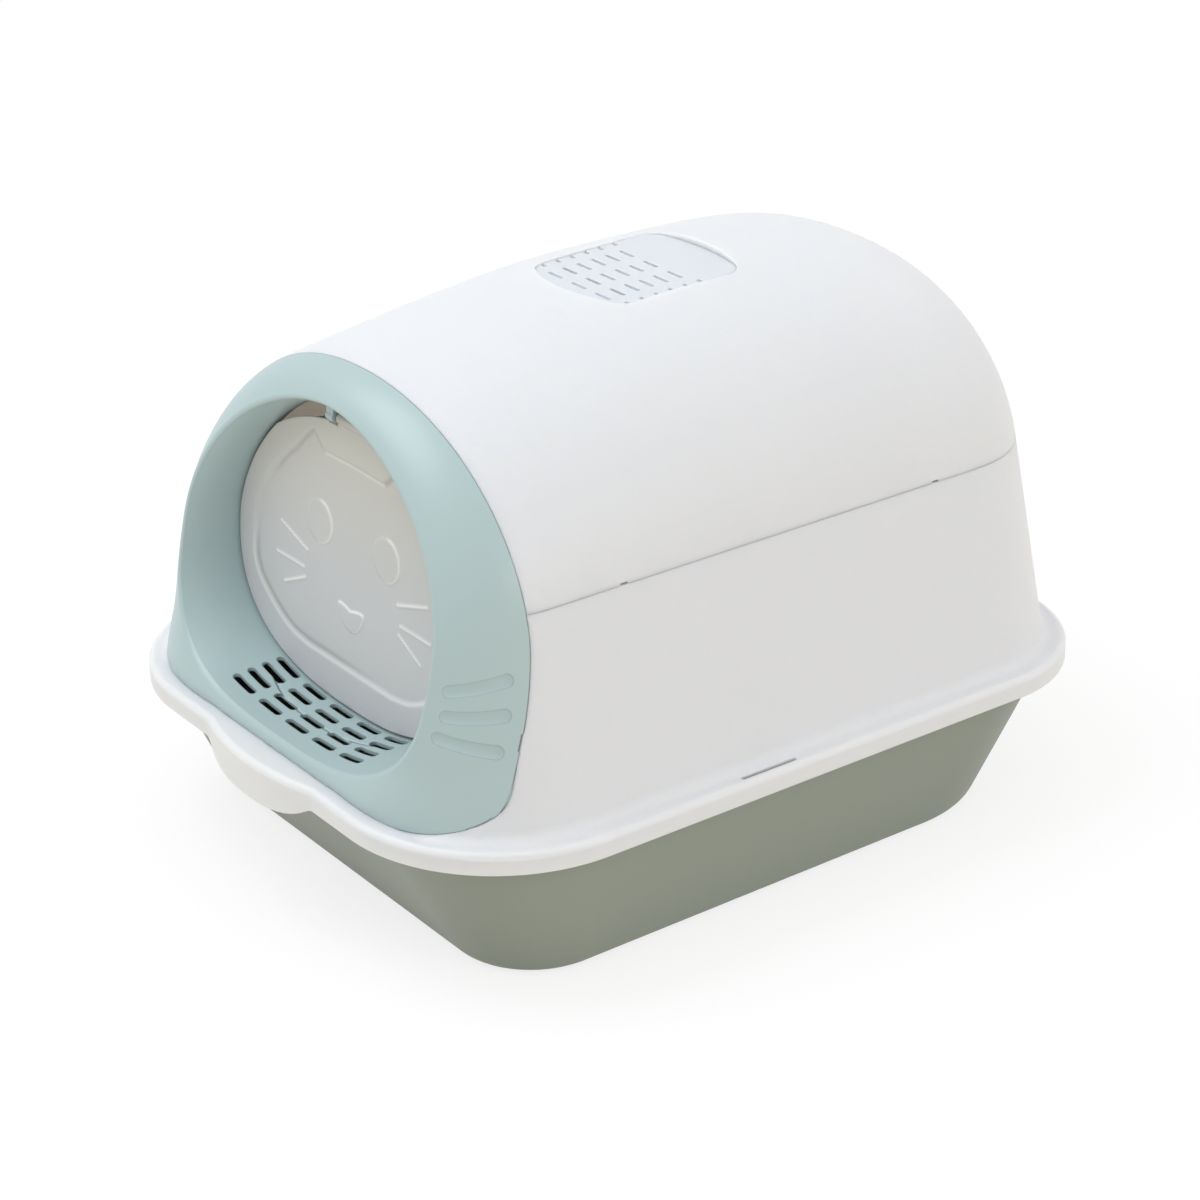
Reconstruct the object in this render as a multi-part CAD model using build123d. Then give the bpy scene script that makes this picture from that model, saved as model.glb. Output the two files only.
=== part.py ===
from build123d import *
import math
import os

# Covered litter box. Millimetres. X is the width, the entry faces -Y, Z is up.
# The tub stands on Z = 0 and the object is centred on X = 0.

# Heights
RIM_LOW = 86.0          # lower edge of the cover's skirt
FLANGE_TOP = 99.0       # upper face of the cover's flange, where the walls start
SEAM = 220.0            # joint between lower cover and hood
HOOP_CENTRE = 190.0     # centre of the hood's hoops
CROWN = 338.5           # highest point of the hood
WALL = 2.5              # wall of every moulded shell
FLANGE_ROUND = 9.0      # hollow round between the cover's walls and its flange
GAP = 0.3               # gap between pieces that lift apart

# Plan of the rim and of the cover's walls: half width, front, rear, front radius, rear radius
RIM_PLAN = (203.0, -250.0, 250.0, 103.0, 88.0)
FOOT_PLAN = (190.0, -239.7, 239.0, 92.0, 82.0)
SEAM_PLAN = (156.0, -205.0, 234.5, 52.5, 70.0)

TONGUE_FRONT = -150.0   # the seam's inner tongue starts behind the entry frame

# Tub
TUB_BASE_PLAN = (175.0, -193.0, 204.0, 50.0, 94.0)
TUB_TOP_PLAN = (194.5, -241.0, 241.0, 94.0, 80.0)
TUB_TOP = 96.2
TUB_BASE_RADIUS = 12.5
TUB_RIM_OUT = 4.5       # how far the tub's rolled rim stands out
TUB_RIM_LOW = 90.0

# Snap slots in the flange, with the tub's tongues in them
SNAP_X = 197.0
SNAP_Y = -29.0
SNAP_LONG = 40.0
SNAP_WIDE = 3.0

# Lift tab at the front of the skirt
TAB_HALF = 60.0
TAB_DROP = 12.0
TAB_OUT = 8.5

# Hood
HOOD_FRONT = -165.0     # plane where the entry frame ends and the hood starts
HOOD_REAR = 236.5
CROWN_Y = 20.0          # where the crown line is highest
CROWN_FRONT_DROP = 22.5
CROWN_REAR_POWER = 4.1
HOOP_POWER_FRONT = 2.08
HOOP_POWER = 2.2
HOOP_POINTS = 13

# Notches in the hood's lower edge, over the snap hooks
NOTCH_PLACES = (-100.0, 130.0)
NOTCH_LONG = 5.0
NOTCH_HIGH = 1.2

# Entry frame
LIP_HALF = 132.7
LIP_MIDDLE = 195.2
LIP_TOP = 298.4
LIP_POWER_UP = 1.88
LIP_POWER_DOWN = 3.06
STEP_Z = 107.0          # floor of the entry
DOOR_HALF = 125.4
DOOR_MIDDLE = 187.0
DOOR_TOP = 297.0
DOOR_POWER_UP = 1.72
DOOR_POWER_DOWN = 2.5
LIP_ROUND = 2.5
FRAME_STEPS = 27        # spans of half the frame, from its crown to the middle of the step
CORNER_REACH = 7.0      # degrees over which the rear edge turns from the wall onto the flange, each way

# Door plane: it leans back by a few degrees, and the flap's front face lies in it
DOOR_Y = -180.6
DOOR_PIVOT = 195.0
DOOR_LEAN = 4.7
NECK_LEAD = 1.5         # the tunnel runs straight from this far in front of the flap's face
NECK_LONG = 7.5         # to this far behind its own start

# Slits at the frame's snap hooks, in its rear edge: lowest and highest point
SLITS = ((148.5, 157.5), (106.5, 113.5))
SLIT_DEEP = 1.3

# Three whisker grooves in each cheek: angle round the hoop centre and place on the skin, at each end
GROOVE_RADIUS = 5.5
GROOVE_DEEP = 1.3
GROOVES = [
    ((-2.5, 0.8), (-0.5, 0.22)),
    ((-8.0, 0.78), (-7.0, 0.2)),
    ((-13.0, 0.8), (-13.5, 0.2)),
]

# Slots in the step
SLOT_LONG = 22.0
SLOT_WIDE = 5.0
SLOT_PITCH_X = 29.5
SLOT_PITCH_Y = 10.2
SLOT_FRONT = -222.0

# Flap and its hinge, in the door plane's own frame: Y = 0 is the flap's front face
FLAP_CLEAR = 1.5
FLAP_TOP = 281.0
FLAP_SHOULDER_HALF = 130.0  # half width of the ellipse that rounds the flap's shoulders
FLAP_THICK = 2.4
PANEL_DEEP = 1.3        # how far the face panel lies behind the flap's border
PANEL_THICK = 1.6
FEATURE_HIGH = 1.2      # eyes and nose stand off the panel
LINE_HIGH = 0.7         # and so do the whiskers
LINE_WIDE = 1.4
EYE = (35.4, 213.7, 13.4)
NOSE = ((-13.0, 172.8), (0.0, 156.6), (13.0, 172.8), (0.0, 169.2))
WHISKERS = [((48.0, 190.8), (78.0, 200.0)), ((51.5, 179.0), (82.0, 179.0)), ((50.0, 173.0), (73.0, 162.5))]
HINGE_Z = 283.0
BARREL_RADIUS = 3.2
BARREL_HALF = 16.0
PIN_RADIUS = 2.0
PIN_CLEAR = 0.06
PIN_END = 24.0
LUG_LOW = 18.0
LUG_HIGH = 26.0
LUG_RADIUS = 4.2
LUG_TOP = 296.0
LUG_CLEAR = 0.8

# Vent
VENT_HALF = 45.0
VENT_FRONT = -30.0
VENT_REAR = 79.0
VENT_SIDE_FRONT = -14.0
VENT_SIDE_REAR = 72.0
VENT_CORNER = 14.0
VENT_TOP = 334.0        # upper face of the vent cover at its pivot line
VENT_PIVOT = 60.0
VENT_TILT = 1.8         # the cover follows the crown line down towards the front
VENT_THICK = 1.7
VENT_SLOT = (14.5, 2.6)
VENT_PITCH = (23.5, 10.6)
POCKET = (74.0, 62.0)
POCKET_Y = 26.0
POCKET_DEEP = 9.5       # from the upper face of the vent cover to the pocket's floor
FILTER = (70.0, 58.0, 6.5)


def save(node, shape):
    export_step(shape, f"parts/{node}.step")


def plan_face(plan, z, inset=0.0):
    """Rounded rectangle with one radius for the two front corners and one for the two rear ones."""
    half, front, rear, r_front, r_rear = plan
    half, front, rear = half - inset, front + inset, rear - inset
    r_front, r_rear = r_front - inset, r_rear - inset
    k = 1 - math.sqrt(0.5)
    right = [
        Line((0, front), (half - r_front, front)),
        ThreePointArc((half - r_front, front), (half - r_front * k, front + r_front * k), (half, front + r_front)),
        Line((half, front + r_front), (half, rear - r_rear)),
        ThreePointArc((half, rear - r_rear), (half - r_rear * k, rear - r_rear * k), (half - r_rear, rear)),
        Line((half - r_rear, rear), (0, rear)),
    ]
    left = [mirror(edge, about=Plane.YZ) for edge in right]
    return Pos(0, 0, z) * make_face(right + left)


def between(low, high, part):
    return tuple(a + (b - a) * part for a, b in zip(low, high))


def wall_plan(z):
    """Plan of the cover's outer wall at height z, ruled from the foot to the seam."""
    return between(FOOT_PLAN, SEAM_PLAN, (z - FLANGE_TOP) / (SEAM - FLANGE_TOP))


def plan_half(plan, y):
    """Half width of a plan outline at y."""
    half, front, rear, r_front, r_rear = plan
    into_front = max(front + r_front - y, 0)
    into_rear = max(y - (rear - r_rear), 0)
    at_front = half - r_front + math.sqrt(max(r_front**2 - into_front**2, 0))
    at_rear = half - r_rear + math.sqrt(max(r_rear**2 - into_rear**2, 0))
    return min(at_front, at_rear)


def plan_front(plan, x):
    """Front edge of a plan outline at x."""
    half, front, rear, r_front, r_rear = plan
    into = max(abs(x) - (half - r_front), 0)
    return front + r_front - math.sqrt(max(r_front**2 - into**2, 0))


def crown(y, inset=0.0):
    """Height of the hood's crown line: it rises to its top, then falls to a full rounded rear."""
    if y < CROWN_Y:
        rise = (CROWN_Y - y) / (CROWN_Y - HOOD_FRONT)
        return CROWN - inset - CROWN_FRONT_DROP * rise**1.4
    run = (y - CROWN_Y) / (HOOD_REAR - inset - CROWN_Y)
    fall = max(1 - run**CROWN_REAR_POWER, 0) ** (1 / CROWN_REAR_POWER)
    return HOOP_CENTRE + (CROWN - inset - HOOP_CENTRE) * fall


def hoop_power(y):
    part = min(max((y - HOOD_FRONT) / 125.0, 0), 1)
    return HOOP_POWER_FRONT + (HOOP_POWER - HOOP_POWER_FRONT) * part


def hoop_half(y, z, inset=0.0):
    """Half width of the hood at y and height z: a superellipse that meets the seam's plan."""
    half, front, rear, r_front, r_rear = SEAM_PLAN
    seam = plan_half((half - inset, front, rear - inset, r_front, r_rear - inset), y)
    tall, power = crown(y, inset) - HOOP_CENTRE, hoop_power(y)
    wide = seam / (1 - ((SEAM - HOOP_CENTRE) / tall) ** power) ** (1 / power)
    level = min(abs(z - HOOP_CENTRE) / tall, 1)
    return wide * (1 - level**power) ** (1 / power)


def hoop_face(y, low, inset=0.0):
    """Hood section at y, closed along its lower edge."""
    top, power = crown(y, inset), hoop_power(y)
    wide = hoop_half(y, HOOP_CENTRE, inset)
    tall = top - HOOP_CENTRE
    start = math.asin(min((low - HOOP_CENTRE) / tall, 1) ** (power / 2))
    points = []
    for i in range(HOOP_POINTS):
        angle = start + (math.pi - 2 * start) * i / (HOOP_POINTS - 1)
        x = math.copysign(abs(math.cos(angle)) ** (2 / power), math.cos(angle)) * wide
        points.append((x, HOOP_CENTRE + tall * math.sin(angle) ** (2 / power)))
    arch = Spline(points)
    sill = Line(points[-1], points[0])
    return Plane(origin=(0, y, 0), x_dir=(1, 0, 0), z_dir=(0, -1, 0)) * make_face([arch, sill])


def hood_solid(front, low, inset=0.0):
    stations = [front, -152, -138, -110, -60, 0, 60, 120, 160, 185, 203, 215, 223, 229, 232.5, 234.3]
    stations = [front] + [y - inset for y in stations[1:]]
    return loft([hoop_face(y, low, inset) for y in stations])


def edge_y(z):
    """Side view of the frame's rear edge: upright beside the hood, then swept forward to the flange."""
    upper = max((213.0 - z) / 90.0, 0) ** 1.5
    lower = max((123.0 - z) / 24.0, 0) ** 2.5
    return HOOD_FRONT - 27.0 * upper - 30.0 * lower


def edge_half(z):
    if z < SEAM:
        return plan_half(wall_plan(z), edge_y(z))
    return hoop_half(HOOD_FRONT, z)


def lip_y(z):
    """Side view of the lip: it leans back and its lower end sweeps forward to the step."""
    return -190.6 - 0.236 * (LIP_TOP - z) - 3.3 * max((157.0 - z) / 50.0, 0) ** 2


def door_y(z):
    """Y of the flap's front face at height z."""
    return DOOR_Y + (z - DOOR_PIVOT) * math.tan(math.radians(DOOR_LEAN))


def door_frame():
    """Place of the door plane: its local Y = 0 is the flap's front face, its local Z runs up the flap."""
    return Pos(0, DOOR_Y, DOOR_PIVOT) * Rot(-DOOR_LEAN, 0, 0) * Pos(0, 0, -DOOR_PIVOT)


def ring_radius(angle, half, middle, top, bottom, power_up, power_down):
    """Distance from the hoop centre to an egg outline, along a ray at the angle."""
    near, far = 1.0, 260.0
    for _ in range(50):
        r = (near + far) / 2
        x, z = r * math.cos(angle), HOOP_CENTRE + r * math.sin(angle) - middle
        height, power = (top - middle, power_up) if z > 0 else (middle - bottom, power_down)
        inside = abs(x / half) ** power + abs(z / height) ** power < 1
        near, far = (r, far) if inside else (near, r)
    return near


def lip_radius(angle):
    return ring_radius(angle, LIP_HALF, LIP_MIDDLE, LIP_TOP, STEP_Z, LIP_POWER_UP, LIP_POWER_DOWN)


def door_radius(angle):
    return ring_radius(angle, DOOR_HALF, DOOR_MIDDLE, DOOR_TOP, STEP_Z, DOOR_POWER_UP, DOOR_POWER_DOWN)


def foot_corner():
    """Angle at which the frame's rear edge reaches the flange."""
    foot = FLANGE_TOP + GAP
    return math.atan2(foot - HOOP_CENTRE, edge_half(foot))


def sharp_edge(angle):
    """Radius and y of the frame's outer rear edge along a ray: beside the cover's wall, or on the flange."""
    foot = FLANGE_TOP + GAP
    if angle <= foot_corner():
        r = (HOOP_CENTRE - foot) / -math.sin(angle)
        return r, plan_front(FOOT_PLAN, r * math.cos(angle))
    low, high = foot, crown(HOOD_FRONT)
    for _ in range(50):
        z = (low + high) / 2
        if math.atan2(z - HOOP_CENTRE, edge_half(z)) < angle:
            low = z
        else:
            high = z
    return math.hypot(edge_half(low), low - HOOP_CENTRE), edge_y(low)


def edge_point(angle):
    """The rear edge with its corner on the flange turned into a smooth bend by a cubic."""
    reach, h = math.radians(CORNER_REACH), 0.001
    t = (angle - foot_corner()) / (2 * reach) + 0.5
    if not 0 < t < 1:
        return sharp_edge(angle)
    low, high = foot_corner() - reach, foot_corner() + reach
    bend = []
    for a, b, a_next, b_next in zip(sharp_edge(low), sharp_edge(high), sharp_edge(low - h), sharp_edge(high + h)):
        leave, arrive = (a - a_next) / h * 2 * reach, (b_next - b) / h * 2 * reach
        start = (2 * t**3 - 3 * t**2 + 1) * a + (t**3 - 2 * t**2 + t) * leave
        bend.append(start + (3 * t**2 - 2 * t**3) * b + (t**3 - t**2) * arrive)
    return tuple(bend)


def unit(a, b):
    length = math.hypot(b[0] - a[0], b[1] - a[1])
    return (b[0] - a[0]) / length, (b[1] - a[1]) / length


def frame_section(degrees):
    """Section of the entry frame in the half plane at an angle round the hoop centre."""
    angle = math.radians(degrees)
    edge = edge_point(angle)
    r_lip = lip_radius(angle)
    lip = (r_lip, lip_y(HOOP_CENTRE + r_lip * math.sin(angle)))
    r_door = door_radius(angle)
    neck = (r_door, door_y(HOOP_CENTRE + r_door * math.sin(angle)) - NECK_LEAD)
    bend = (r_door, (lip[1] + neck[1]) / 2)
    along = unit(edge, lip)
    out = (-along[1], along[0])
    chord = math.dist(edge, lip)
    crest = tuple((a + b) / 2 + 0.1 * chord * n for a, b, n in zip(edge, lip, out))
    to_crest, to_neck = unit(lip, crest), unit(lip, bend)
    lip_out = tuple(a + LIP_ROUND * d for a, d in zip(lip, to_crest))
    lip_in = tuple(a + LIP_ROUND * d for a, d in zip(lip, to_neck))
    lip_mid = tuple(a + 0.35 * LIP_ROUND * (d + e) for a, d, e in zip(lip, to_crest, to_neck))
    # The inner corner is where the skin and the tunnel, each moved in by one wall, cross.
    skin = (-along[0], -along[1])
    a0 = (lip[0] - WALL * out[0], lip[1] - WALL * out[1])
    side = (-to_neck[1], to_neck[0])
    side = side if side[0] > 0 else (to_neck[1], -to_neck[0])
    b0 = (lip[0] + WALL * side[0], lip[1] + WALL * side[1])
    cross = skin[0] * to_neck[1] - skin[1] * to_neck[0]
    t = ((b0[0] - a0[0]) * to_neck[1] - (b0[1] - a0[1]) * to_neck[0]) / cross
    inner = (a0[0] + t * skin[0], a0[1] + t * skin[1])
    crest_in = (crest[0] - WALL * out[0], crest[1] - WALL * out[1])
    turn = min(max((-26.0 - degrees) / 8.0, 0), 1) * math.pi / 2
    edge_in = (edge[0] - WALL * math.cos(turn), edge[1] + WALL * math.sin(turn))
    rear_in, rear_out = (r_door, neck[1] + NECK_LONG), (r_door + WALL, neck[1] + NECK_LONG)
    neck_out = (r_door + WALL, neck[1] + WALL)
    outline = [
        Spline([edge, crest, lip_out]),
        ThreePointArc(lip_out, lip_mid, lip_in),
        Bezier(lip_in, bend, neck),
        Line(neck, rear_in),
        Line(rear_in, rear_out),
        Line(rear_out, neck_out),
        Bezier(neck_out, (r_door + WALL, bend[1]), inner),
        Spline([inner, crest_in, edge_in]),
        Line(edge_in, edge),
    ]
    ray = (math.cos(angle), 0, math.sin(angle))
    plane = Plane(origin=(0, 0, HOOP_CENTRE), x_dir=ray, z_dir=(-math.sin(angle), 0, math.cos(angle)))
    return plane * make_face(outline)


def pill(long, wide, x, y, low, high):
    """Upright prism with round ends, its length along X."""
    return Pos(x, y, low) * extrude(SlotOverall(long, wide), high - low)


def frame_shell():
    """Half of the frame as one smooth loft round the hoop centre, then its mirror image."""
    half = loft([frame_section(90 - 180 * i / FRAME_STEPS) for i in range(FRAME_STEPS + 1)])
    return half + mirror(half, about=Plane.YZ)


def skin_point(degrees, part):
    """Point and outward normal of the frame's outer skin, part 0 at its rear edge and 1 at the lip."""
    angle = math.radians(degrees)
    edge = edge_point(angle)
    r_lip = lip_radius(angle)
    lip = (r_lip, lip_y(HOOP_CENTRE + r_lip * math.sin(angle)))
    along = unit(edge, lip)
    bulge = 0.4 * math.dist(edge, lip) * part * (1 - part)
    r = edge[0] + (lip[0] - edge[0]) * part - bulge * along[1]
    y = edge[1] + (lip[1] - edge[1]) * part + bulge * along[0]
    place = Vector(r * math.cos(angle), y, HOOP_CENTRE + r * math.sin(angle))
    normal = Vector(-along[1] * math.cos(angle), along[0], -along[1] * math.sin(angle))
    return place, normal


def cheek_groove(ends):
    """Round-ended bar whose axis floats above the skin, so that it cuts a shallow groove."""
    (d0, p0), (d1, p1) = ends
    lift = GROOVE_RADIUS - GROOVE_DEEP
    points = []
    for i in range(5):
        place, normal = skin_point(d0 + (d1 - d0) * i / 4, p0 + (p1 - p0) * i / 4)
        points.append(place + normal * lift)
    path = Spline(points)
    profile = Plane(origin=points[0], z_dir=path % 0) * Circle(GROOVE_RADIUS)
    bar = sweep(profile, path=path)
    return [bar, Pos(*points[0]) * Sphere(GROOVE_RADIUS), Pos(*points[-1]) * Sphere(GROOVE_RADIUS)]


def step_slots():
    slots = []
    for column in range(-2, 3):
        for row in range(4):
            y = SLOT_FRONT + row * SLOT_PITCH_Y
            slots.append(pill(SLOT_LONG, SLOT_WIDE, column * SLOT_PITCH_X, y, STEP_Z - 8, STEP_Z + 16))
    return slots


def egg_face(half, top, bottom):
    points = []
    for i in range(48):
        angle = 2 * math.pi * i / 48
        r = ring_radius(angle, half, DOOR_MIDDLE, top, bottom, DOOR_POWER_UP, DOOR_POWER_DOWN)
        points.append((r * math.cos(angle), HOOP_CENTRE + r * math.sin(angle)))
    return make_face(Spline(points, periodic=True))


def upright(face, front, deep):
    """Prism of a face drawn in the door plane, from its front backwards."""
    plane = Plane(origin=(0, front + deep, 0), x_dir=(1, 0, 0), z_dir=(0, -1, 0))
    return extrude(plane * face, deep)


def on_hinge(shape, along=0.0):
    """Puts a piece that is built round the Z axis on the flap's hinge axis, in the door frame."""
    return Pos(along, FLAP_THICK / 2, HINGE_Z) * Rot(0, 90, 0) * shape


def hinge_lugs():
    """Two lugs that hang from the tunnel's ceiling and carry the flap's pins."""
    long, middle = LUG_HIGH - LUG_LOW, (LUG_LOW + LUG_HIGH) / 2
    for side in (-1, 1):
        web = Pos(side * middle, FLAP_THICK / 2, HINGE_Z) * Box(
            long, 2 * LUG_RADIUS - 1, LUG_TOP - HINGE_Z, align=(Align.CENTER, Align.CENTER, Align.MIN)
        )
        yield door_frame() * (on_hinge(Cylinder(LUG_RADIUS, long), side * middle) + web)


def edge_slits():
    """Thin slits at the snap hooks, cut into the frame's rear edge on both sides."""
    for low, high in SLITS:
        heights = [low + (high - low) * i / 4 for i in range(5)]
        front = [(edge_y(z) - SLIT_DEEP, z) for z in heights]
        rear = [(edge_y(z) + 1, z) for z in reversed(heights)]
        face = make_face(Polyline(*front, *rear, close=True))
        yield extrude(Plane.YZ * face, 250, both=True)


def entry_frame():
    shape = frame_shell()
    behind = wall_solid(FLANGE_TOP - 5, SEAM) - wall_solid(FLANGE_TOP - 8, SEAM + 5, WALL + GAP)
    shape = shape - (behind - Pos(0, -GAP, 0) * front_cutter())
    for lug in hinge_lugs():
        shape = shape + lug
    bars = [bar for ends in GROOVES for bar in cheek_groove(ends)]
    for bar in bars + [mirror(bar, about=Plane.YZ) for bar in bars]:
        shape = shape - bar
    for slot in step_slots():
        shape = shape - slot
    for slit in edge_slits():
        shape = shape - slit
    return shape - door_frame() * on_hinge(Cylinder(PIN_RADIUS + PIN_CLEAR, 2 * (PIN_END + 0.5)))


def head_face():
    """Outline of the face panel: a cat's head with two ears, half of it then its mirror image."""
    tip, base, low = (43.2, 267.2), (32.0, 257.4), (45.0, 134.2)
    side = [tip, (52, 259.4), (61, 250.6), (74, 239.5), (90, 220), (101, 197), (104.5, 174), (100, 160.5), (90, 151.5),
            (77.5, 143.5), (62, 136.8), low]
    half = [
        Line((0, 258.2), base),
        Line(base, tip),
        Spline(side),
        Line(low, (0, 134.2)),
    ]
    return make_face(half + [mirror(edge, about=Plane.YZ) for edge in half])


def features():
    """Eyes and nose, then the whiskers, each with its height off the panel."""
    x, z, radius = EYE
    yield fillet(Polygon(*NOSE, align=None).vertices(), 2), FEATURE_HIGH
    for side in (-1, 1):
        yield Pos(side * x, z) * Circle(radius), FEATURE_HIGH
        for (x0, z0), (x1, z1) in WHISKERS:
            tilt = math.degrees(math.atan2(z1 - z0, side * (x1 - x0)))
            bar = SlotOverall(math.dist((x0, z0), (x1, z1)) + LINE_WIDE, LINE_WIDE)
            yield Pos(side * (x0 + x1) / 2, (z0 + z1) / 2) * Rot(0, 0, tilt) * bar, LINE_HIGH


def flap_door():
    outline = egg_face(DOOR_HALF - FLAP_CLEAR, DOOR_TOP - FLAP_CLEAR, STEP_Z + FLAP_CLEAR)
    outline = outline & Pos(0, DOOR_MIDDLE) * Ellipse(FLAP_SHOULDER_HALF, FLAP_TOP - DOOR_MIDDLE)
    head = head_face()
    shape = upright(outline, 0, FLAP_THICK) - upright(head, -1, 1 + PANEL_DEEP)
    shape = shape + upright(head, PANEL_DEEP, PANEL_THICK)
    for face, high in features():
        shape = shape + upright(face, PANEL_DEEP - high, high + 0.4)
    for side in (-1, 1):
        notch = Cylinder(LUG_RADIUS + LUG_CLEAR, LUG_HIGH - LUG_LOW + 2 * LUG_CLEAR)
        shape = shape - on_hinge(notch, side * (LUG_LOW + LUG_HIGH) / 2)
    shape = shape + on_hinge(Cylinder(BARREL_RADIUS, 2 * BARREL_HALF))
    return door_frame() * (shape + on_hinge(Cylinder(PIN_RADIUS, 2 * PIN_END)))


def vent_plan(inset=0.0):
    front = ThreePointArc((-VENT_HALF, VENT_SIDE_FRONT), (0, VENT_FRONT), (VENT_HALF, VENT_SIDE_FRONT))
    right = Line((VENT_HALF, VENT_SIDE_FRONT), (VENT_HALF, VENT_SIDE_REAR))
    rear = ThreePointArc((VENT_HALF, VENT_SIDE_REAR), (0, VENT_REAR), (-VENT_HALF, VENT_SIDE_REAR))
    left = Line((-VENT_HALF, VENT_SIDE_REAR), (-VENT_HALF, VENT_SIDE_FRONT))
    face = make_face([front, right, rear, left])
    face = fillet(face.vertices(), VENT_CORNER)
    return offset(face, -inset) if inset else face


def vent_frame():
    """Place of the vent: its local Z = 0 is the upper face of the vent cover."""
    return Pos(0, VENT_PIVOT, VENT_TOP) * Rot(VENT_TILT, 0, 0) * Pos(0, -VENT_PIVOT, 0)


def hood():
    outer = hood_solid(HOOD_FRONT + GAP, SEAM + GAP)
    inner = hood_solid(HOOD_FRONT - 5, SEAM - 5, WALL)
    tray = vent_frame() * Pos(0, 0, -POCKET_DEEP - WALL) * extrude(vent_plan(-WALL), 2 * POCKET_DEEP)
    shape = outer - inner + (tray & outer)
    shape = shape - vent_frame() * Pos(0, 0, -VENT_THICK - GAP) * extrude(vent_plan(), 20)
    pocket = Pos(0, POCKET_Y, -POCKET_DEEP) * extrude(RectangleRounded(*POCKET, 4), POCKET_DEEP)
    shape = shape - vent_frame() * pocket
    for x in (-24, -8, 8, 24):
        for row in range(-2, 3):
            slot = pill(11, 3, x, POCKET_Y + row * 10, -POCKET_DEEP - 5, -POCKET_DEEP + 1)
            shape = shape - vent_frame() * slot
    for y in NOTCH_PLACES:
        shape = shape - Pos(0, y, SEAM) * Box(400, NOTCH_LONG, 2 * (GAP + NOTCH_HIGH))
    return shape


def vent_cover():
    shape = Pos(0, 0, -VENT_THICK) * extrude(vent_plan(0.5), VENT_THICK)
    for column in range(-1, 2):
        for row in range(7):
            y = VENT_FRONT + 5 + row * VENT_PITCH[1]
            shape = shape - pill(*VENT_SLOT, column * VENT_PITCH[0], y, -VENT_THICK - 1, 1)
    for side in (-1, 1):
        for row in range(6):
            y = VENT_FRONT + 20 + row * VENT_PITCH[1]
            shape = shape - pill(*VENT_SLOT, side * (VENT_HALF + 1), y, -VENT_THICK - 1, 1)
    return vent_frame() * shape


def filter_pad():
    block = extrude(RectangleRounded(FILTER[0], FILTER[1], 3), FILTER[2])
    return vent_frame() * Pos(0, POCKET_Y, -POCKET_DEEP + GAP) * block


def wall_solid(low, high, inset=0.0):
    return loft([plan_face(wall_plan(low), low, inset), plan_face(wall_plan(high), high, inset)], ruled=True)


def front_cutter():
    """Everything in front of the entry frame's rear edge, above the flange."""
    heights = [FLANGE_TOP, 101, 104, 108, 115, 123, 140, 160, 180, 200, 213]
    edge = Spline([(edge_y(z), z) for z in heights])
    top = Polyline((HOOD_FRONT, 213), (HOOD_FRONT, 260), (-300, 260), (-300, FLANGE_TOP), (edge_y(FLANGE_TOP), FLANGE_TOP))
    return extrude(Plane.YZ * make_face([edge] + top.edges()), 250, both=True)


def tab_solid():
    """Lift tab: it swells forward in plan and hangs down, with soft ends."""
    front, rear = RIM_PLAN[1], RIM_PLAN[1] + WALL
    bow = [(-1, 0), (-0.8, 0.29), (-0.42, 0.82), (0, 1), (0.42, 0.82), (0.8, 0.29), (1, 0)]
    swell = make_face([
        Spline([(TAB_HALF * u, front - TAB_OUT * v) for u, v in bow], tangents=[(1, 0), (1, 0)]),
        Polyline((TAB_HALF, front), (TAB_HALF, rear), (-TAB_HALF, rear), (-TAB_HALF, front)),
    ])
    sag = [(-1, 0), (-0.86, 0.27), (-0.55, 0.84), (0, 1), (0.55, 0.84), (0.86, 0.27), (1, 0)]
    hang = make_face([
        Spline([(TAB_HALF * u, RIM_LOW - TAB_DROP * v) for u, v in sag], tangents=[(1, 0), (1, 0)]),
        Polyline((TAB_HALF, RIM_LOW), (TAB_HALF, FLANGE_TOP), (-TAB_HALF, FLANGE_TOP), (-TAB_HALF, RIM_LOW)),
    ])
    block = Pos(0, 0, RIM_LOW - TAB_DROP - 5) * extrude(swell, 60)
    plate = extrude(Plane(origin=(0, -200, 0), x_dir=(1, 0, 0), z_dir=(0, -1, 0)) * hang, 80)
    return block & plate


def at_foot(edge):
    """True for an edge on the flange that runs where the cover's walls start."""
    if edge.bounding_box().size.Z > 0.01 or abs(edge.center().Z - FLANGE_TOP) > 0.01:
        return False
    place = edge.position_at(0.4)
    front, rear = FOOT_PLAN[1], FOOT_PLAN[2]
    beside = abs(plan_half(FOOT_PLAN, place.Y) - abs(place.X)) < 1
    return front - 1 < place.Y < rear + 1 and (beside or min(place.Y - front, rear - place.Y) < 1)


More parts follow.
